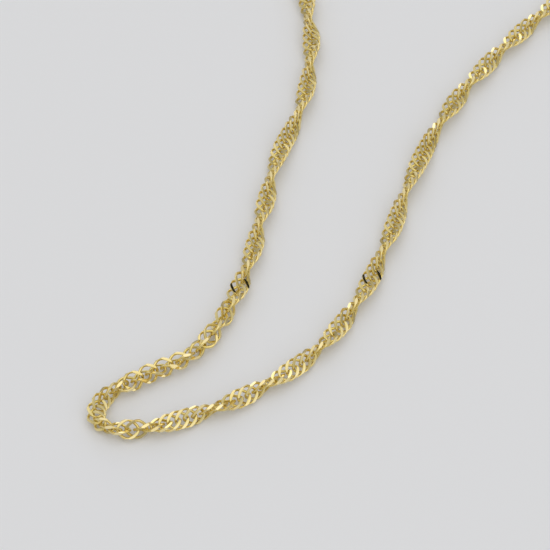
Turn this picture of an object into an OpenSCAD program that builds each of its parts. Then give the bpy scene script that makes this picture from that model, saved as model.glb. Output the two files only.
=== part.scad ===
// A necklace of small twisted curb links, lying as one closed loop on a flat surface.
// The origin is on that surface, in the middle of the loop. The narrow front bend is at -Y
// and the clasp at +Y.

/* [Chain] */
// Width of the twisted ribbon of links
ribbon_w = 2.5; // [2.3:0.1:2.7]

/* [Clasp] */
// Outer diameter of the clasp's ring
ring_d = 5.5; // [5:0.1:6]
// Thickness of the clasp's ring
ring_wire_d = 1.1; // [1:0.05:1.3]
// Outer diameter of the eye that is soldered to the ring
eye_d = 2; // [1.8:0.1:2.2]
// Thickness of the eye's wire
eye_wire_d = 0.5; // [0.4:0.05:0.6]
// Diameter of the thumb knob
knob_d = 0.8; // [0.7:0.05:1]
// How far the thumb knob stands out of the ring
knob_h = 0.7; // [0.5:0.1:1]
// Direction of the thumb knob, measured from +X
knob_turn = 60; // [30:5:120]
// Space left between the clasp and each end of the chain
end_gap = 0.3; // [0.2:0.05:0.4]

/* [Hidden] */

// The chain and the clasp lie with their middles at this height
mid_z = ribbon_w / 2;

// The clasp spans this length along X, with the eye on the left and the ring on the right
clasp_l = ring_d + eye_d - eye_wire_d;
clasp_y = 92.5;
ring_x = (clasp_l - ring_d) / 2;
eye_x = (eye_d - clasp_l) / 2;
chain_end_x = clasp_l / 2 + end_gap;

// Where the middle of the chain runs, seen from above, from the clasp's right side round the
// front bend to the clasp's left side
stops = [
    [chain_end_x, clasp_y],
    [16, 90.5],
    [27.5, 84.5],
    [36, 74],
    [40, 60.5],
    [40, 46],
    [36.5, 31.5],
    [30.5, 17.5],
    [23, 4],
    [16, -10],
    [11, -23.5],
    [8.7, -35],
    [8.1, -45],
    [8.2, -55],
    [7.6, -65.2],
    [4.9, -75.2],
    [-0.1, -83.2],
    [-5.6, -88.9],
    [-11, -93],
    [-14.6, -94.5],
    [-17.3, -94.2],
    [-18.3, -92.2],
    [-17.3, -89.2],
    [-14, -85.2],
    [-9.8, -80.3],
    [-8.1, -73.6],
    [-7.8, -64.7],
    [-8.9, -54.7],
    [-10, -45],
    [-9.8, -35.5],
    [-12, -24],
    [-17.5, -11],
    [-24.5, 2.5],
    [-32, 17],
    [-38, 31.5],
    [-41, 46.5],
    [-39.5, 62],
    [-33, 76],
    [-20.5, 87],
    [-chain_end_x, clasp_y],
];

// Cross-sections of the tube between one stop and the next, and flat sides round it
steps = 2;
sides = 8;
corner_r = mid_z / cos(180 / sides);

// One more stop past each end, placed so that the chain leaves the clasp straight along X
first = stops[0];
second = stops[1];
last = stops[len(stops) - 1];
last_but_one = stops[len(stops) - 2];
through = concat(
    [[2 * first.x - second.x, second.y]],
    stops,
    [[2 * last.x - last_but_one.x, last_but_one.y]]
);

// The point a fraction u of the way from b to c on a smooth curve that also heeds a and d
function point_at(a, b, c, d, u) =
    b + (c - a) * u / 2
    + (2 * a - 5 * b + 4 * c - d) * u ^ 2 / 2
    + (3 * b - a - 3 * c + d) * u ^ 3 / 2;

// The direction of that curve at the same point
function heading_at(a, b, c, d, u) =
    (c - a) / 2
    + (2 * a - 5 * b + 4 * c - d) * u
    + (3 * b - a - 3 * c + d) * 3 * u ^ 2 / 2;

// The unit vector to the left of a heading
function left_of(heading) = [-heading.y, heading.x] / norm(heading);

// The corners of one cross-section round point p, with a flat side down
function section(p, left) = [
    for (k = [0 : sides - 1])
        let (angle = (k + 0.5) * 360 / sides, out = corner_r * cos(angle))
        [p.x + left.x * out, p.y + left.y * out, mid_z + corner_r * sin(angle)]
];

// Every cross-section in turn, from one end of the chain to the other
function sections() = [
    for (i = [0 : len(through) - 4])
        let (a = through[i], b = through[i + 1], c = through[i + 2], d = through[i + 3])
        let (count = i == len(through) - 4 ? steps + 1 : steps)
        for (k = [0 : count - 1])
            section(
                point_at(a, b, c, d, k / steps),
                left_of(heading_at(a, b, c, d, k / steps))
            )
];

// The run of links, as one tube of the ribbon's width
module chain() {
    rings = sections();
    count = len(rings);
    corners = [for (ring = rings) for (corner = ring) corner];
    start_cap = [for (k = [0 : sides - 1]) k];
    end_cap = [for (k = [sides - 1 : -1 : 0]) (count - 1) * sides + k];
    walls = [
        for (i = [0 : count - 2])
            for (k = [0 : sides - 1])
                let (near = i * sides, far = near + sides, next = (k + 1) % sides)
                for (half = [[near + k, far + k, far + next], [near + k, far + next, near + next]])
                    half
    ];
    color("goldenrod")
        polyhedron(points = corners, faces = concat([start_cap], walls, [end_cap]));
}

// A round ring of round wire, lying flat
module wire_ring(d, wire_d) {
    rotate_extrude($fn = 64)
        translate([(d - wire_d) / 2, 0])
            circle(d = wire_d, $fn = 32);
}

// The closed clasp: a ring, an eye soldered to its left side, and a thumb knob
module clasp() {
    color("gold")
        translate([0, clasp_y, mid_z])
            union() {
                translate([ring_x, 0, 0])
                    wire_ring(ring_d, ring_wire_d);
                translate([eye_x, 0, 0])
                    wire_ring(eye_d, eye_wire_d);
                translate([ring_x, 0, 0])
                    rotate([0, 90, knob_turn])
                        translate([0, 0, (ring_d - ring_wire_d) / 2])
                            cylinder(d = knob_d, h = ring_wire_d / 2 + knob_h, $fn = 32);
            }
}

chain();
clasp();
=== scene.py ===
# %% [markdown]
# # A necklace of twisted curb links
#
# The necklace is one run of small oval gold rings. Each ring passes through two neighbours on
# either side, the flat faces of the ribbon are cut with a diamond tool so that they flash, and
# the whole ribbon is twisted about its own length. A small round clasp closes the loop.
#
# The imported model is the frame: it gives the tube that the links fill and the clasp's place.
# Everything below is built round it, in metres, and nothing in it is moved.

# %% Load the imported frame
import math

import bmesh
import bpy
import numpy as np
from mathutils import Matrix, Vector


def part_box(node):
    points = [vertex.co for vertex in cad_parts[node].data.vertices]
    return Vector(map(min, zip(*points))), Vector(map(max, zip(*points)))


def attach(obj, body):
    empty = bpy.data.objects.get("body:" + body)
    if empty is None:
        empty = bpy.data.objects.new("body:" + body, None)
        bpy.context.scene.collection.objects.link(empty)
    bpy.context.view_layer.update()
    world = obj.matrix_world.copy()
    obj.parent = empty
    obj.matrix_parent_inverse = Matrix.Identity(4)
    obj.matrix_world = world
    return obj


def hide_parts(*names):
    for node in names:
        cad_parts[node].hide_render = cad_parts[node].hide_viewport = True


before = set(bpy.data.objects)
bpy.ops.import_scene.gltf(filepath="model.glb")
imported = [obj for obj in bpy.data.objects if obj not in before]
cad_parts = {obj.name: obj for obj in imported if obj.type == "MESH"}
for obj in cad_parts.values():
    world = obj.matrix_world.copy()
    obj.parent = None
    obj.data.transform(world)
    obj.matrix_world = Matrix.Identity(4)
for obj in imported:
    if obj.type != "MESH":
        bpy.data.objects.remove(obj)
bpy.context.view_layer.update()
chain_low, chain_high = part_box("chain")
clasp_low, clasp_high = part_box("clasp")
MM = 0.001

# %% [markdown]
# ## The run of the chain
#
# A chain laid on a table has no rule to its curve, so its course is a list of given stops, the
# same ones as the tube's, seen from above. It could be a Bezier curve object, but the links need
# to know how far along they sit and which way the chain heads there, so the curve is worked out
# here as plain arrays. Distances are measured along it from the clasp's right side.

# %% Stops along the chain, in millimetres
STOPS = [
    (16, 90.5), (27.5, 84.5), (36, 74), (40, 60.5), (40, 46), (36.5, 31.5), (30.5, 17.5),
    (23, 4), (16, -10), (11, -23.5), (8.7, -35), (8.1, -45), (8.2, -55), (7.6, -65.2),
    (4.9, -75.2), (-0.1, -83.2), (-5.6, -88.9), (-11, -93), (-14.6, -94.5), (-17.3, -94.2),
    (-18.3, -92.2), (-17.3, -89.2), (-14, -85.2), (-9.8, -80.3), (-8.1, -73.6), (-7.8, -64.7),
    (-8.9, -54.7), (-10, -45), (-9.8, -35.5), (-12, -24), (-17.5, -11), (-24.5, 2.5), (-32, 17),
    (-38, 31.5), (-41, 46.5), (-39.5, 62), (-33, 76), (-20.5, 87),
]
BEND_STOP = (-18.3, -92.2)
print(len(STOPS), "stops, the sharpest bend at", BEND_STOP)

# %% The curve's two ends, beside the clasp
END_GAP = 0.3 * MM
RING_D = 5.5 * MM
clasp_y = clasp_low.y + RING_D / 2
mid_z = (chain_low.z + chain_high.z) / 2
right_end = Vector((clasp_high.x + END_GAP, clasp_y))
left_end = Vector((clasp_low.x - END_GAP, clasp_y))
print(f"the ends are {(right_end.x - left_end.x) / MM:.1f} mm apart, {mid_z / MM:.2f} mm up")


# %% A smooth curve through the stops
def smooth_run(stops, steps):
    """Points of a smooth curve through the stops that leaves its two ends straight along X."""
    p = np.array(stops)
    before = (2 * p[0][0] - p[1][0], p[1][1])
    after = (2 * p[-1][0] - p[-2][0], p[-2][1])
    p = np.vstack([before, p, after])
    u = (np.arange(steps) / steps)[:, None]
    pieces = []
    for a, b, c, d in zip(p, p[1:], p[2:], p[3:]):
        pieces.append(
            b + (c - a) * u / 2
            + (2 * a - 5 * b + 4 * c - d) * u**2 / 2
            + (3 * b - a - 3 * c + d) * u**3 / 2
        )
    return np.vstack([*pieces, p[-2]])


STEPS_PER_STOP = 40
middle = [(x * MM, y * MM) for x, y in STOPS]
run = smooth_run([tuple(right_end), *middle, tuple(left_end)], STEPS_PER_STOP)
run_step = np.hypot(*np.diff(run, axis=0).T)
run_at = np.concatenate([[0.0], np.cumsum(run_step)])
heading = np.gradient(run, run_at, axis=0)
heading /= np.hypot(*heading.T)[:, None]
chain_length = run_at[-1]
bend_at = run_at[np.hypot(*(run - np.array(BEND_STOP) * MM).T).argmin()]
loop_length = chain_length + right_end.x - left_end.x
print(f"chain {chain_length / MM:.1f} mm, whole loop {loop_length / MM:.1f} mm")

# %% [markdown]
# ## The camera
#
# The camera comes before the links, because the photo fixes where the twisted ribbon turns
# edge-on to it. A long lens keeps the links the same size from front to back. It looks down at
# the narrow front bend, and its distance follows from how many millimetres the picture spans.

# %% Put an object into the scene
def add_object(name, data):
    """An object that shows the given mesh, light or camera."""
    made = bpy.data.objects.new(name, data)
    bpy.context.scene.collection.objects.link(made)
    return made


# %% Place the camera
PICTURE_MM = 71
LENS, SENSOR = 180, 36
AZIMUTH, ELEVATION = math.radians(18), math.radians(50)
target = Vector((-4 * MM, -65 * MM, mid_z))
to_camera = Vector((
    math.sin(AZIMUTH) * math.cos(ELEVATION),
    -math.cos(AZIMUTH) * math.cos(ELEVATION),
    math.sin(ELEVATION),
))
camera_data = bpy.data.cameras.new("camera")
camera_data.lens = LENS
camera_data.sensor_width = SENSOR
camera_data.clip_start = 0.01
camera = add_object("camera", camera_data)
camera.location = target + to_camera * (PICTURE_MM * MM * LENS / SENSOR)
camera.rotation_mode = "QUATERNION"
camera.rotation_quaternion = (-to_camera).to_track_quat("-Z", "Y")
bpy.context.scene.camera = camera
print(f"camera {(camera.location - target).length / MM:.0f} mm away")

# %% [markdown]
# ## The twist
#
# The ribbon turns about its own length like a right-hand screw, tighter in some places than in
# others. A Simple Deform modifier could twist it, but only evenly. The eye reads a twist from the
# waists, where the ribbon stands edge-on, so the twist is given as the places of those waists, in
# millimetres from the front bend. Between two waists it makes half a turn. Where the photo doesn't
# show the chain, the turns are even.

# %% How many half turns the ribbon has made at each place
WAISTS = [
    -76.8, -62.8, -52.1, -42.4, -34.0, -25.1, -17.7, -8.4, -4.4, 4.8,
    7.0, 9.2, 11.4, 13.8, 16.4, 19.9, 23.9, 30.3, 38.3, 46.5, 59.7,
]
EVEN_HALF_TURN = 8.5
from_bend = (run_at - bend_at) / MM
half_turns = np.interp(from_bend, WAISTS, np.arange(len(WAISTS)))
half_turns += np.minimum(from_bend - WAISTS[0], 0) / EVEN_HALF_TURN
half_turns += np.maximum(from_bend - WAISTS[-1], 0) / EVEN_HALF_TURN
print(f"{half_turns[-1] - half_turns[0]:.1f} half turns, {len(WAISTS)} waists set by hand")

# %% Turn the waists edge-on to the camera
# The ribbon is edge-on where its width points along the line of sight, seen along the chain
side = np.stack([-heading[:, 1], heading[:, 0]], 1)
sight = run - np.array(camera.location[:2])
across = (sight * side).sum(1)
edge_on = np.unwrap(2 * np.arctan2(mid_z - camera.location.z, across)) / 2
roll = edge_on + math.pi * half_turns
print(f"edge-on at {math.degrees(edge_on.min()):.0f} to {math.degrees(edge_on.max()):.0f} degrees")


# %% Stand both ends upright
# The clasp lies flat, so the ribbon has to stand on edge to hook on it
def to_upright(angle):
    """The smallest turn that stands the ribbon on edge from this roll."""
    return (math.pi / 2 - angle + math.pi / 2) % math.pi - math.pi / 2


# Each end's turn is spread over the stretch that the photo doesn't show
hidden_start = np.clip((WAISTS[0] - from_bend) / (WAISTS[0] - from_bend[0]), 0, 1)
hidden_end = np.clip((from_bend - WAISTS[-1]) / (from_bend[-1] - WAISTS[-1]), 0, 1)
roll += to_upright(roll[0]) * hidden_start + to_upright(roll[-1]) * hidden_end
print(f"{(roll[-1] - roll[0]) / math.pi:.1f} half turns in all")


# %% Even out the twist
def evened(values, samples):
    """A moving average over an odd number of samples that runs straight on past both ends."""
    pad = samples // 2
    padded = np.concatenate([
        2 * values[0] - values[pad:0:-1], values, 2 * values[-1] - values[-2:-pad - 2:-1]
    ])
    return np.convolve(padded, np.ones(samples) / samples, "same")[pad:-pad]


SAMPLE = 0.1 * MM
SMOOTHED = 2.5 * MM
even_at = np.arange(0, chain_length, SAMPLE)
even_roll = evened(np.interp(even_at, run_at, roll), round(SMOOTHED / SAMPLE))
even_twist = np.gradient(even_roll, even_at)
print(f"tightest twist {math.degrees(even_twist.max() * MM):.0f} degrees in a millimetre")

# %% [markdown]
# ## One link
#
# A curb link is a round wire bent into a ring and then twisted, so that the next links can nest in
# it. Pressed between its neighbours it is no plain oval but a diamond with rounded corners, and
# its four nearly straight sides lean across the ribbon. It could be a torus that is scaled and
# twisted with modifiers, but sweeping a circle of points along the formula gives clean rings of
# faces. Four planes then slice the wire as the diamond tool does: two across the flat faces of
# the ribbon, where the long bright bars come from, and two along its edges. A link that is hardly
# twisted barely stands out of the ribbon, so the tool takes less off it. The ring is bent wider
# than the ribbon by what the tool takes off its edges, less a little for the links' own tilts.
# Each corner of the mesh also keeps how sheltered it is, inside the ring and near its ends, for
# the gold to darken there later as painted shade.

# %% Sizes of a link
RIBBON_W = chain_high.z - chain_low.z
WIRE = 0.38 * MM
PITCH = 1.05 * MM
# The wires of a link's two nearest neighbours both end inside it, each this far past its middle
SLACK = 0.07 * MM
LINK_L = 2 * (PITCH + WIRE + SLACK)
# How far the ring's corners are drawn to a point, along the chain and across it
POINT_ALONG, POINT_ACROSS = 0.05, 0.03
# Room for the links' own tilts, and what the tool takes off the edges and off the faces
MARGIN, EDGE_CUT, FACE_CUT = 0.03 * MM, 0.14 * MM, 0.13 * MM
# The tool takes no more off a face than this share of how far the twisted wire stands out
CUT_SHARE = 0.85
half_l = (LINK_L - WIRE) / 2
half_w = RIBBON_W / 2 - MARGIN + EDGE_CUT - WIRE / 2
print(f"link {LINK_L / MM:.2f} by {RIBBON_W / MM:.2f} mm, wire {WIRE / MM:.2f} mm")


# %% Sweep round wire along a closed path
def sweep_ring(path, upright, radii, sides):
    """A closed tube as arrays of corners and four-sided faces."""
    ahead = np.roll(path, -1, 0) - np.roll(path, 1, 0)
    ahead /= np.linalg.norm(ahead, axis=1)[:, None]
    up = upright - ahead * (upright * ahead).sum(1)[:, None]
    up /= np.linalg.norm(up, axis=1)[:, None]
    out = np.cross(ahead, up)
    turn = 2 * math.pi * np.arange(sides) / sides
    corners = (
        path[:, None]
        + radii[:, None, None] * np.cos(turn)[None, :, None] * out[:, None]
        + radii[:, None, None] * np.sin(turn)[None, :, None] * up[:, None]
    ).reshape(-1, 3)
    i, k = np.meshgrid(np.arange(len(path)), np.arange(sides), indexing="ij")
    i_next, k_next = (i + 1) % len(path), (k + 1) % sides
    faces = np.stack(
        [i * sides + k, i_next * sides + k, i_next * sides + k_next, i * sides + k_next], -1
    )
    return corners, faces.reshape(-1, 4)


# %% The path of a link's wire
RINGS, SIDES = 56, 12


def link_path(own_twist):
    """Points along the middle of the wire, and the way off the ribbon's face at each of them."""
    t = 2 * math.pi * (np.arange(RINGS) + 0.5) / RINGS
    x = half_l * ((1 - POINT_ALONG) * np.cos(t) + POINT_ALONG * np.cos(3 * t))
    reach = half_w * ((1 - POINT_ACROSS) * np.sin(t) - POINT_ACROSS * np.sin(3 * t))
    lean = own_twist * x
    path = np.stack([x, reach * np.cos(lean), reach * np.sin(lean)], 1)
    upright = np.stack([np.zeros(RINGS), -np.sin(lean), np.cos(lean)], 1)
    return path, upright


span = np.ptp(link_path(0.0)[0], axis=0) / MM
print(f"the middle of its wire spans {span[0]:.2f} by {span[1]:.2f} mm")

# %% How sheltered each corner of a link is, for the painted shade
# A link starts to be buried in its neighbours at this share of its half length
BURIED_FROM = 0.6
# It is wholly buried this much further out
BURIED_OVER = 0.3
# Being buried shelters the wire this much, beside 1 for the inside of the ring
BURIED_COUNTS = 0.6


def painted_shade_of(path, corners):
    """0 for a corner in the open, up to 1 for one inside the ring or among the neighbours."""
    inward = -path / np.linalg.norm(path, axis=1)[:, None]
    outward = (corners.reshape(RINGS, SIDES, 3) - path[:, None]) / (WIRE / 2)
    inside = np.clip((outward * inward[:, None]).sum(-1), 0, 1)
    buried = np.clip((np.abs(path[:, :1]) / half_l - BURIED_FROM) / BURIED_OVER, 0, 1)
    return np.clip(inside + BURIED_COUNTS * buried, 0, 1).ravel()


# %% Cut flats on a mesh
CUT_SLOT = 1


def slice_off(mesh, place, normal):
    """Cut away what lies past a plane, and close the cut with flat faces."""
    geometry = mesh.verts[:] + mesh.edges[:] + mesh.faces[:]
    cut = bmesh.ops.bisect_plane(
        mesh, geom=geometry, plane_co=place, plane_no=normal, clear_outer=True
    )
    rim = [e for e in cut["geom_cut"] if isinstance(e, bmesh.types.BMEdge)]
    if rim:
        filled = bmesh.ops.holes_fill(mesh, edges=rim, sides=0)["faces"]
        for face in filled:
            face.smooth = False
            face.material_index = CUT_SLOT
        bmesh.ops.triangulate(mesh, faces=filled)


# %% Build a link with a given twist of its own
def make_link(own_twist):
    """Corners, faces, smooth flags, material slots and painted shade of a link round the origin."""
    path, upright = link_path(own_twist)
    corners, faces = sweep_ring(path, upright, np.full(RINGS, WIRE / 2), SIDES)
    mesh = bmesh.new()
    # This layer holds how much painted shade each corner gets
    depth = mesh.verts.layers.float.new("painted_shade_amount")
    verts = [mesh.verts.new(c) for c in corners]
    for vert, value in zip(verts, painted_shade_of(path, corners)):
        vert[depth] = value
    for face in faces:
        mesh.faces.new([verts[v] for v in face]).smooth = True
    raised = path[:, 2].max()
    flat_z = raised + WIRE / 2 - min(FACE_CUT, CUT_SHARE * raised)
    edge_y = half_w + WIRE / 2 - EDGE_CUT
    for sign in (1, -1):
        slice_off(mesh, (0, 0, sign * flat_z), (0, 0, sign))
        slice_off(mesh, (0, sign * edge_y, 0), (0, sign, 0))
    mesh.verts.index_update()
    link = (
        np.array([v.co[:] for v in mesh.verts]),
        [[v.index for v in f.verts] for f in mesh.faces],
        [f.smooth for f in mesh.faces],
        [f.material_index for f in mesh.faces],
        [v[depth] for v in mesh.verts],
    )
    mesh.free()
    return link


# %% [markdown]
# ## Laying the links
#
# Hundreds of separate objects would be slow and hard to export, so the links are copied as
# arrays and joined into a few meshes, one for each stretch of the chain. Each link sits on the
# curve, heads along it and is rolled to the ribbon's twist there. Where the ribbon is wrung tight
# the link itself is twisted less, and in the end the other way, so that neighbours still pass
# through one another and hardly touch. For the same reason the links crowd together a little
# where the front bend is sharpest. Tiny random tilts keep the flashes from being regular. In the
# tight stretch behind the front bend the photo shows every second link standing out as a small
# loop, so there the tilts grow and the links lean one way and the other by turns.

# %% Where each link sits
# The first link reaches the end ring, and the last one reaches through the clasp's eye
FIRST_AT, LAST_SHORT = 1.2 * MM, 0.09 * MM
# Between these two places, measured from the bend, the links close up by this much in all
CROWD_FROM, CROWD_TO, CROWD = -3.5 * MM, -0.5 * MM, 0.3 * MM
last_at = chain_length - LAST_SHORT
count = round((last_at - FIRST_AT) / PITCH) + 1
link_at = np.linspace(FIRST_AT, last_at + CROWD, count)
link_at -= np.interp(link_at - bend_at, (CROWD_FROM, CROWD_TO), (0, CROWD))
print(count, "links, pitch", round((link_at[1] - link_at[0]) / MM, 4), "mm")

# %% How far each link tilts out of line
SEED = 18
ROLL_PLAY, TILT_PLAY = math.radians(2.5), math.radians(1.0)
# A ribbon that turns more than this from one link to the next is wrung tight
SNUG = math.radians(28)
# How much the tilts grow where it is, and how far the links lean one way and the other
RAGGED, ZIGZAG = 1.5, math.radians(13)
dice = np.random.default_rng(SEED)
play = dice.uniform(-1, 1, (count, 3)) * (ROLL_PLAY, TILT_PLAY, TILT_PLAY)
shade = dice.uniform(0, 1, count)

ribbon_twist = np.interp(link_at, even_at, even_twist)
ragged = np.clip((ribbon_twist * PITCH - SNUG) / SNUG, 0, 1)
play *= 1 + RAGGED * ragged[:, None]
play[:, 0] += ZIGZAG * ragged * (-1.0) ** np.arange(count)
link_roll = np.interp(link_at, even_at, even_roll) + play[:, 0]
print((ragged > 0).sum(), "links in the tight stretch and its run-in")

# %% Build each kind of link that the twist asks for
# Where the ribbon turns this much from one link to the next, plain links nest best
NEST = math.radians(58)
# The most that a link is twisted over one pitch, against the ribbon's twist and with it
OWN_TWISTS = math.radians(-19), math.radians(28)
# Links that differ by less than this share one kind
TWIST_STEP = math.radians(3)
own_twist = np.clip(ribbon_twist * PITCH - NEST, *OWN_TWISTS)
own_step = np.round(own_twist / TWIST_STEP).astype(int)
kinds = {step: make_link(step * TWIST_STEP / PITCH) for step in sorted(set(own_step))}
own_degrees = [round(math.degrees(step * TWIST_STEP)) for step in (own_step.min(), own_step.max())]
print(len(kinds), "kinds, twisted", own_degrees[0], "to", own_degrees[1], "degrees over a pitch")


# %% Which way each link turns
def link_frame(i):
    """The turn and place of link i: X along the chain, Y across the ribbon, Z off its face."""
    s = link_at[i]
    ahead = Vector((np.interp(s, run_at, heading[:, 0]), np.interp(s, run_at, heading[:, 1]), 0))
    ahead.normalize()
    left = Vector((-ahead.y, ahead.x, 0))
    base = Matrix((ahead, left, Vector((0, 0, 1)))).transposed()
    own = Matrix.Rotation(link_roll[i], 3, "X")
    own = own @ Matrix.Rotation(play[i, 1], 3, "Y") @ Matrix.Rotation(play[i, 2], 3, "Z")
    place = (np.interp(s, run_at, run[:, 0]), np.interp(s, run_at, run[:, 1]), mid_z)
    return np.array(base @ own), np.array(place)


print("first link at", np.round(link_frame(0)[1] / MM, 2), "mm")


# %% Join a stretch of links into one mesh
def join_links(name, numbers):
    """The numbered links as one object, with a random shade and a painted shade at each corner."""
    corners, faces, smooth, slots, shades, painted_shade_amounts = [], [], [], [], [], []
    start = 0
    for i in numbers:
        points, link_faces, link_smooth, link_slots, link_painted_shade = kinds[own_step[i]]
        turn, place = link_frame(i)
        corners.append(points @ turn.T + place)
        faces += [[v + start for v in face] for face in link_faces]
        smooth += link_smooth
        slots += link_slots
        shades += [shade[i]] * len(points)
        painted_shade_amounts += link_painted_shade
        start += len(points)
    mesh = bpy.data.meshes.new(name)
    mesh.from_pydata(np.vstack(corners), [], faces)
    mesh.polygons.foreach_set("use_smooth", smooth)
    mesh.polygons.foreach_set("material_index", slots)
    # A random shade for each link, and how much painted shade each corner gets
    for attribute, values in (("shade", shades), ("painted_shade_amount", painted_shade_amounts)):
        mesh.attributes.new(attribute, "FLOAT", "POINT").data.foreach_set("value", values)
    mesh.update()
    return add_object(name, mesh)


STRETCHES = 6
groups = np.array_split(np.arange(count), STRETCHES)
stretches = [join_links(f"links_{n + 1}", group) for n, group in enumerate(groups)]
for piece in stretches:
    print(piece.name, len(piece.data.polygons), "faces")

# %% [markdown]
# ## The end ring and the clasp
#
# The photo doesn't show how the chain closes, so it gets the plain closure that such a chain
# has: a round clasp with a small eye, and a closed ring on the other end of the chain. The clasp
# stays one solid, as in the frame, but it is modelled with the parts that the eye expects, which
# are a tubular body, the thinner bolt that closes its gap, a thumb knob and a soldered eye. All
# but the knob could be torus primitives. The sweep that makes the links makes them too, and it
# can change the wire's thickness on the way, which gives the bolt.

# %% Sizes of the clasp
RING_WIRE = 1.1 * MM
EYE_D, EYE_WIRE = 2 * MM, 0.5 * MM
KNOB_D = 0.8 * MM
KNOB_OUT = 0.7 * MM
KNOB_TURN = math.radians(60)
# The bolt closes the ring's gap between these two directions, measured from +X
BOLT_WIRE = 0.8 * MM
BOLT_FROM, BOLT_TO = math.radians(85), math.radians(140)
ring_x = clasp_high.x - RING_D / 2
eye_x = clasp_low.x + EYE_D / 2
body_r = (RING_D - RING_WIRE) / 2
print(f"clasp {(clasp_high.x - clasp_low.x) / MM:.1f} mm long, its ring {RING_D / MM:.1f} mm across")


# %% A ring of round wire
def round_ring(radius, wire, rings, sides, centre, tilt=0.0, radii=None):
    """Corners and faces of a ring of round wire that is tilted about X."""
    t = 2 * math.pi * np.arange(rings) / rings
    path = np.stack([radius * np.cos(t), radius * np.sin(t), np.zeros(rings)], 1)
    upright = np.tile((0.0, 0.0, 1.0), (rings, 1))
    radii = np.full(rings, wire / 2) if radii is None else radii(t)
    corners, faces = sweep_ring(path, upright, radii, sides)
    turn = np.array(Matrix.Rotation(tilt, 3, "X"))
    return corners @ turn.T + np.array(centre), faces


# %% Turn a profile into a knob
def turned(profile, sides, place, axis):
    """A closed solid turned round an axis from (radius, height) pairs."""
    turn = 2 * math.pi * np.arange(sides) / sides
    corners = [(r * math.cos(a), r * math.sin(a), h) for r, h in profile for a in turn]
    rows = len(profile)
    faces = [
        [i * sides + k, i * sides + (k + 1) % sides,
         (i + 1) * sides + (k + 1) % sides, (i + 1) * sides + k]
        for i in range(rows - 1) for k in range(sides)
    ]
    faces.append(list(range(sides))[::-1])
    faces.append([(rows - 1) * sides + k for k in range(sides)])
    spin = np.array(Vector((0, 0, 1)).rotation_difference(Vector(axis)).to_matrix())
    return np.array(corners) @ spin.T + np.array(place), faces


# %% Build the body and the eye
def body_radii(t):
    """The body's full thickness, and the bolt's where it closes the gap."""
    in_gap = (t > BOLT_FROM) & (t < BOLT_TO)
    return np.where(in_gap, BOLT_WIRE / 2, RING_WIRE / 2)


BODY_RINGS, BODY_SIDES = 144, 24
SMALL_RINGS, SMALL_SIDES = 48, 16
body = round_ring(
    body_r, RING_WIRE, BODY_RINGS, BODY_SIDES, (ring_x, clasp_y, mid_z), radii=body_radii
)
eye = round_ring(
    (EYE_D - EYE_WIRE) / 2, EYE_WIRE, SMALL_RINGS, SMALL_SIDES, (eye_x, clasp_y, mid_z)
)
print("body", len(body[1]), "faces, eye", len(eye[1]), "faces")

# %% Build the knob
# Radius and height, as shares of the knob's diameter and of its height over the wire's middle
KNOB_PROFILE = [
    (0.30, 0), (0.30, 0.72), (0.5, 0.80), (0.5, 0.92), (0.44, 0.98), (0.30, 1.0), (0.12, 1.0),
]
KNOB_SIDES = 24
knob_axis = (math.cos(KNOB_TURN), math.sin(KNOB_TURN), 0)
knob_root = Vector((ring_x, clasp_y, mid_z)) + Vector(knob_axis) * body_r
knob_top = RING_WIRE / 2 + KNOB_OUT
knob = turned(
    [(r * KNOB_D, h * knob_top) for r, h in KNOB_PROFILE], KNOB_SIDES, knob_root, knob_axis
)
print(f"knob {knob_top / MM:.2f} mm high over the wire's middle")


# %% Join the clasp
def join_arrays(parts):
    """Several pairs of corners and faces as one pair."""
    corners, faces, start = [], [], 0
    for c, f in parts:
        corners.append(c)
        faces += [[int(v) + start for v in face] for face in f]
        start += len(c)
    return np.vstack(corners), faces


def new_piece(name, corners, faces):
    """A smooth mesh object from arrays."""
    mesh = bpy.data.meshes.new(name)
    mesh.from_pydata(corners, [], [list(f) for f in faces])
    mesh.polygons.foreach_set("use_smooth", [True] * len(mesh.polygons))
    mesh.update()
    return add_object(name, mesh)


clasp = new_piece("clasp_closed", *join_arrays([body, eye, knob]))
print("clasp", len(clasp.data.polygons), "faces")

# %% Build the end ring
END_RING_R, END_RING_WIRE = 1.12 * MM, 0.4 * MM
END_RING_TILT = math.radians(45)
# Its middle lies this far inside the clasp's right side, so that it goes round the clasp's wire
END_RING_INSET = 0.2 * MM
end_ring = new_piece("end_ring", *round_ring(
    END_RING_R, END_RING_WIRE, SMALL_RINGS, SMALL_SIDES,
    (clasp_high.x - END_RING_INSET, clasp_y, mid_z), tilt=END_RING_TILT,
))
print("end ring", len(end_ring.data.polygons), "faces")

# %% [markdown]
# ## Gold
#
# The links are pale yellow gold. Where the tool cut them they are mirror-bright; elsewhere the
# drawn wire is polished but softer. Metal gets its colour from what it reflects, so one base
# colour with small changes does more than a strong pattern. Noise varies the colour and the
# gloss, a value stored on each link makes neighbours differ, and a fine bump stands for drawing
# marks and tumbling. The sheltered insides, inside each ring and where a link is buried in its
# neighbours, get painted shade, a deeper tone. Light that bounces from gold to gold turns redder
# each time, and on the real links that hardly shows, so the painted shade has less red in it.

# %% Fill a colour ramp
def fill_ramp(ramp, stops):
    """Give a new ramp its stops, from (position, colour) pairs in order."""
    first, *between, last = stops
    for element, (position, colour) in zip(ramp.elements, (first, last)):
        element.position = position
        element.color = (*colour, 1)
    for position, colour in between:
        ramp.elements.new(position).color = (*colour, 1)


# %% How light or deep the gold is at each place
OWN_SHARE = 0.5


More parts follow.
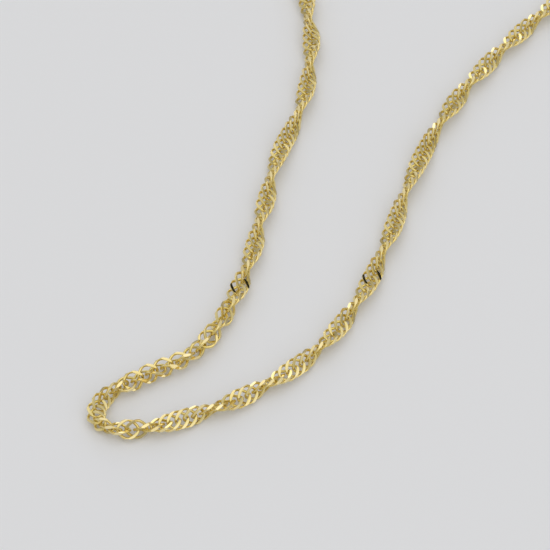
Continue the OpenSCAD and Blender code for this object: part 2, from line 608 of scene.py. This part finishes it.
def gold_tone(nodes, wires, place, cloud_scale):
    """A soft cloud and the link's own shade, from 0 for light to 1 for deep."""
    cloud = nodes.new("ShaderNodeTexNoise")
    cloud.inputs["Scale"].default_value = cloud_scale
    cloud.inputs["Detail"].default_value = 3
    wires.new(place.outputs["Object"], cloud.inputs["Vector"])
    own_shade = nodes.new("ShaderNodeAttribute")
    own_shade.attribute_name = "shade"
    tone = nodes.new("ShaderNodeMath")
    tone.operation = "MULTIPLY_ADD"
    tone.inputs[1].default_value = OWN_SHARE
    wires.new(own_shade.outputs["Fac"], tone.inputs[0])
    cloud_part = nodes.new("ShaderNodeMath")
    cloud_part.operation = "MULTIPLY"
    cloud_part.inputs[1].default_value = 1 - OWN_SHARE
    wires.new(cloud.outputs["Fac"], cloud_part.inputs[0])
    wires.new(cloud_part.outputs[0], tone.inputs[2])
    return tone.outputs[0]


# %% The colour of the gold, with painted shade where it is sheltered
LIGHTEST, DEEPEST = 0.2, 0.8
# Painted shade: sheltered metal is multiplied by this darker tint
PAINTED_SHADE_TINT = (0.84, 0.82, 0.60)


def gold_colour(nodes, wires, tone, light, deep):
    """The colour for each tone, darkened by painted shade where the metal is sheltered."""
    colour = nodes.new("ShaderNodeValToRGB")
    fill_ramp(colour.color_ramp, [(LIGHTEST, light), (DEEPEST, deep)])
    wires.new(tone, colour.inputs["Fac"])
    # The painted shade follows how sheltered each corner is, as stored on the mesh
    painted_shade_mask = nodes.new("ShaderNodeAttribute")
    painted_shade_mask.attribute_name = "painted_shade_amount"
    painted_shade = nodes.new("ShaderNodeMix")
    painted_shade.data_type = "RGBA"
    painted_shade.blend_type = "MULTIPLY"
    painted_shade.inputs["B"].default_value = (*PAINTED_SHADE_TINT, 1)
    wires.new(painted_shade_mask.outputs["Fac"], painted_shade.inputs["Factor"])
    wires.new(colour.outputs["Color"], painted_shade.inputs["A"])
    return painted_shade.outputs["Result"]


# %% The fine marks on the gold
MARK_DEPTH = 0.02 * MM


def gold_marks(nodes, wires, place, mark_scale, mark_strength):
    """A bump as fine as the marks that drawing and tumbling leave."""
    scratch = nodes.new("ShaderNodeTexNoise")
    scratch.inputs["Scale"].default_value = mark_scale
    scratch.inputs["Detail"].default_value = 4
    wires.new(place.outputs["Object"], scratch.inputs["Vector"])
    bump = nodes.new("ShaderNodeBump")
    bump.inputs["Strength"].default_value = mark_strength
    bump.inputs["Distance"].default_value = MARK_DEPTH
    wires.new(scratch.outputs["Fac"], bump.inputs["Height"])
    return bump.outputs["Normal"]


# %% A gold material
def gold(name, light, deep, roughness, cloud_scale, mark_scale, mark_strength):
    """Gold whose colour runs from light to deep, and its roughness over a pair of values."""
    material = bpy.data.materials.new(name)
    material.use_nodes = True
    nodes, wires = material.node_tree.nodes, material.node_tree.links
    shader = nodes["Principled BSDF"]
    shader.inputs["Metallic"].default_value = 1.0
    place = nodes.new("ShaderNodeTexCoord")
    tone = gold_tone(nodes, wires, place, cloud_scale)
    colour = gold_colour(nodes, wires, tone, light, deep)
    wires.new(colour, shader.inputs["Base Color"])
    rough = nodes.new("ShaderNodeMapRange")
    rough.inputs["To Min"].default_value = roughness[0]
    rough.inputs["To Max"].default_value = roughness[1]
    wires.new(tone, rough.inputs["Value"])
    wires.new(rough.outputs["Result"], shader.inputs["Roughness"])
    marks = gold_marks(nodes, wires, place, mark_scale, mark_strength)
    wires.new(marks, shader.inputs["Normal"])
    return material


# %% Three finishes of the same gold
wire_gold = gold(
    "drawn_gold", light=(0.94, 0.775, 0.36), deep=(0.91, 0.735, 0.28),
    roughness=(0.16, 0.30), cloud_scale=900, mark_scale=9000, mark_strength=0.25,
)
cut_gold = gold(
    "cut_gold", light=(0.96, 0.82, 0.46), deep=(0.94, 0.775, 0.38),
    roughness=(0.04, 0.10), cloud_scale=900, mark_scale=15000, mark_strength=0.07,
)
clasp_gold = gold(
    "polished_gold", light=(0.95, 0.80, 0.43), deep=(0.92, 0.755, 0.35),
    roughness=(0.10, 0.22), cloud_scale=500, mark_scale=6000, mark_strength=0.15,
)
for piece in stretches:
    piece.data.materials.append(wire_gold)
    piece.data.materials.append(cut_gold)
for piece in (clasp, end_ring):
    piece.data.materials.append(clasp_gold)
print("finishes:", wire_gold.name, cut_gold.name, clasp_gold.name)

# %% [markdown]
# ## Tying the pieces to the frame
#
# A chain gives way at every link and has no hinge, and the clasp stays shut here, so every piece
# rides on the frame's one body. The links and the end ring stand for the frame's plain tube, and
# the clasp stands for its plain clasp.

# %% Tie the pieces to the frame
for piece in (*stretches, end_ring):
    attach(piece, "root")
    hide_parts("chain")
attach(clasp, "root")
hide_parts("clasp")
print(len(stretches) + 2, "pieces ride on the frame")

# %% [markdown]
# ## Floor and panels
#
# The floor is plain and pale. Gold needs something bright to mirror and something dark beside
# it. Each flat on a link mirrors one small part of the room into the camera, and the flats of
# the two long strands never mirror the same part as those of the front run. So the lights are
# placed by direction: a narrow tall panel behind, and a wide one at the front right. The front
# run flashes in them and the strands stay calm, as in the photo.

# %% The floor
FLOOR_SIZE = 3.0
FLOOR_COLOUR = (0.84, 0.845, 0.86)
far = FLOOR_SIZE / 2
floor_mesh = bpy.data.meshes.new("floor")
floor_mesh.from_pydata(
    [(-far, -far, 0), (far, -far, 0), (far, far, 0), (-far, far, 0)], [], [(0, 1, 2, 3)]
)
floor = add_object("floor", floor_mesh)
floor_paint = bpy.data.materials.new("floor_paint")
floor_paint.use_nodes = True
floor_shader = floor_paint.node_tree.nodes["Principled BSDF"]
floor_shader.inputs["Base Color"].default_value = (*FLOOR_COLOUR, 1)
floor_shader.inputs["Roughness"].default_value = 0.75
floor_shader.inputs["Specular IOR Level"].default_value = 0.2
floor_mesh.materials.append(floor_paint)
print("floor", FLOOR_SIZE, "m across")


# %% The panels
def towards(azimuth, elevation):
    """A unit vector; azimuth turns from the back, +Y, towards the right, +X."""
    azimuth, elevation = math.radians(azimuth), math.radians(elevation)
    return Vector((
        math.sin(azimuth) * math.cos(elevation),
        math.cos(azimuth) * math.cos(elevation),
        math.sin(elevation),
    ))


def panel(name, direction, distance, width, height, power):
    """A soft rectangular light that faces the front bend."""
    data = bpy.data.lights.new(name, "AREA")
    data.shape = "RECTANGLE"
    data.size = width
    data.size_y = height
    data.energy = power
    lamp = add_object(name, data)
    lamp.location = target + direction * distance
    lamp.rotation_euler = (-direction).to_track_quat("-Z", "Y").to_euler()
    return lamp


key = panel("key", towards(-23, 22), distance=0.9, width=0.32, height=0.5, power=0.48)
fill = panel("fill", towards(125, 30), distance=0.9, width=0.7, height=0.7, power=0.6)
for lamp in (key, fill):
    print(lamp.name, "panel", round(lamp.location.z, 2), "m up,", round(lamp.data.energy, 2), "W")

# %% [markdown]
# ## The room
#
# What the gold mirrors between the panels is the room. It could be a picture of a studio, but a
# ramp from the horizon upwards, brightest overhead, is enough. In the photo one link on each
# strand is black, because its flats mirror something dark. One small dark patch in the room does
# the same, and two faint wide ones calm the strands further.

# %% The light of the room, from the horizon to overhead
SKY = [
    (0.0, (0.42, 0.41, 0.39)), (0.70, (0.69, 0.69, 0.69)),
    (0.86, (1.08, 1.08, 1.08)), (1.0, (1.2, 1.2, 1.2)),
]
SKY_STRENGTH = 0.95
world = bpy.data.worlds.new("studio")
bpy.context.scene.world = world
world.use_nodes = True
world_nodes, world_wires = world.node_tree.nodes, world.node_tree.links
sky_place = world_nodes.new("ShaderNodeTexCoord")
sky_split = world_nodes.new("ShaderNodeSeparateXYZ")
sky_ramp = world_nodes.new("ShaderNodeValToRGB")
fill_ramp(sky_ramp.color_ramp, SKY)
world_wires.new(sky_place.outputs["Generated"], sky_split.inputs[0])
world_wires.new(sky_split.outputs["Z"], sky_ramp.inputs["Fac"])
print("sky ramp with", len(sky_ramp.color_ramp.elements), "stops")


# %% The dark patches
def dark_patch(colour, azimuth, elevation, radius, blur, depth):
    """Darken the room round one direction, as a dark thing in it would."""
    aim = world_nodes.new("ShaderNodeVectorMath")
    aim.operation = "DOT_PRODUCT"
    aim.inputs[1].default_value = towards(azimuth, elevation)
    world_wires.new(sky_place.outputs["Generated"], aim.inputs[0])
    edge = world_nodes.new("ShaderNodeMapRange")
    edge.interpolation_type = "SMOOTHSTEP"
    edge.inputs["From Min"].default_value = math.cos(math.radians(radius + blur))
    edge.inputs["From Max"].default_value = math.cos(math.radians(radius))
    edge.inputs["To Min"].default_value = 1
    edge.inputs["To Max"].default_value = 1 - depth
    world_wires.new(aim.outputs["Value"], edge.inputs["Value"])
    shaded = world_nodes.new("ShaderNodeVectorMath")
    shaded.operation = "SCALE"
    world_wires.new(colour, shaded.inputs[0])
    world_wires.new(edge.outputs["Result"], shaded.inputs["Scale"])
    return shaded.outputs[0]


sky = sky_ramp.outputs["Color"]
sky = dark_patch(sky, azimuth=20, elevation=50.5, radius=3.7, blur=0.8, depth=0.98)
sky = dark_patch(sky, azimuth=45, elevation=8, radius=22, blur=12, depth=0.15)
sky = dark_patch(sky, azimuth=-52, elevation=8, radius=20, blur=12, depth=0.15)
background = world_nodes["Background"]
world_wires.new(sky, background.inputs["Color"])
background.inputs["Strength"].default_value = SKY_STRENGTH
bpy.context.scene.view_settings.view_transform = "Standard"
print(len(world_nodes), "nodes light the room")
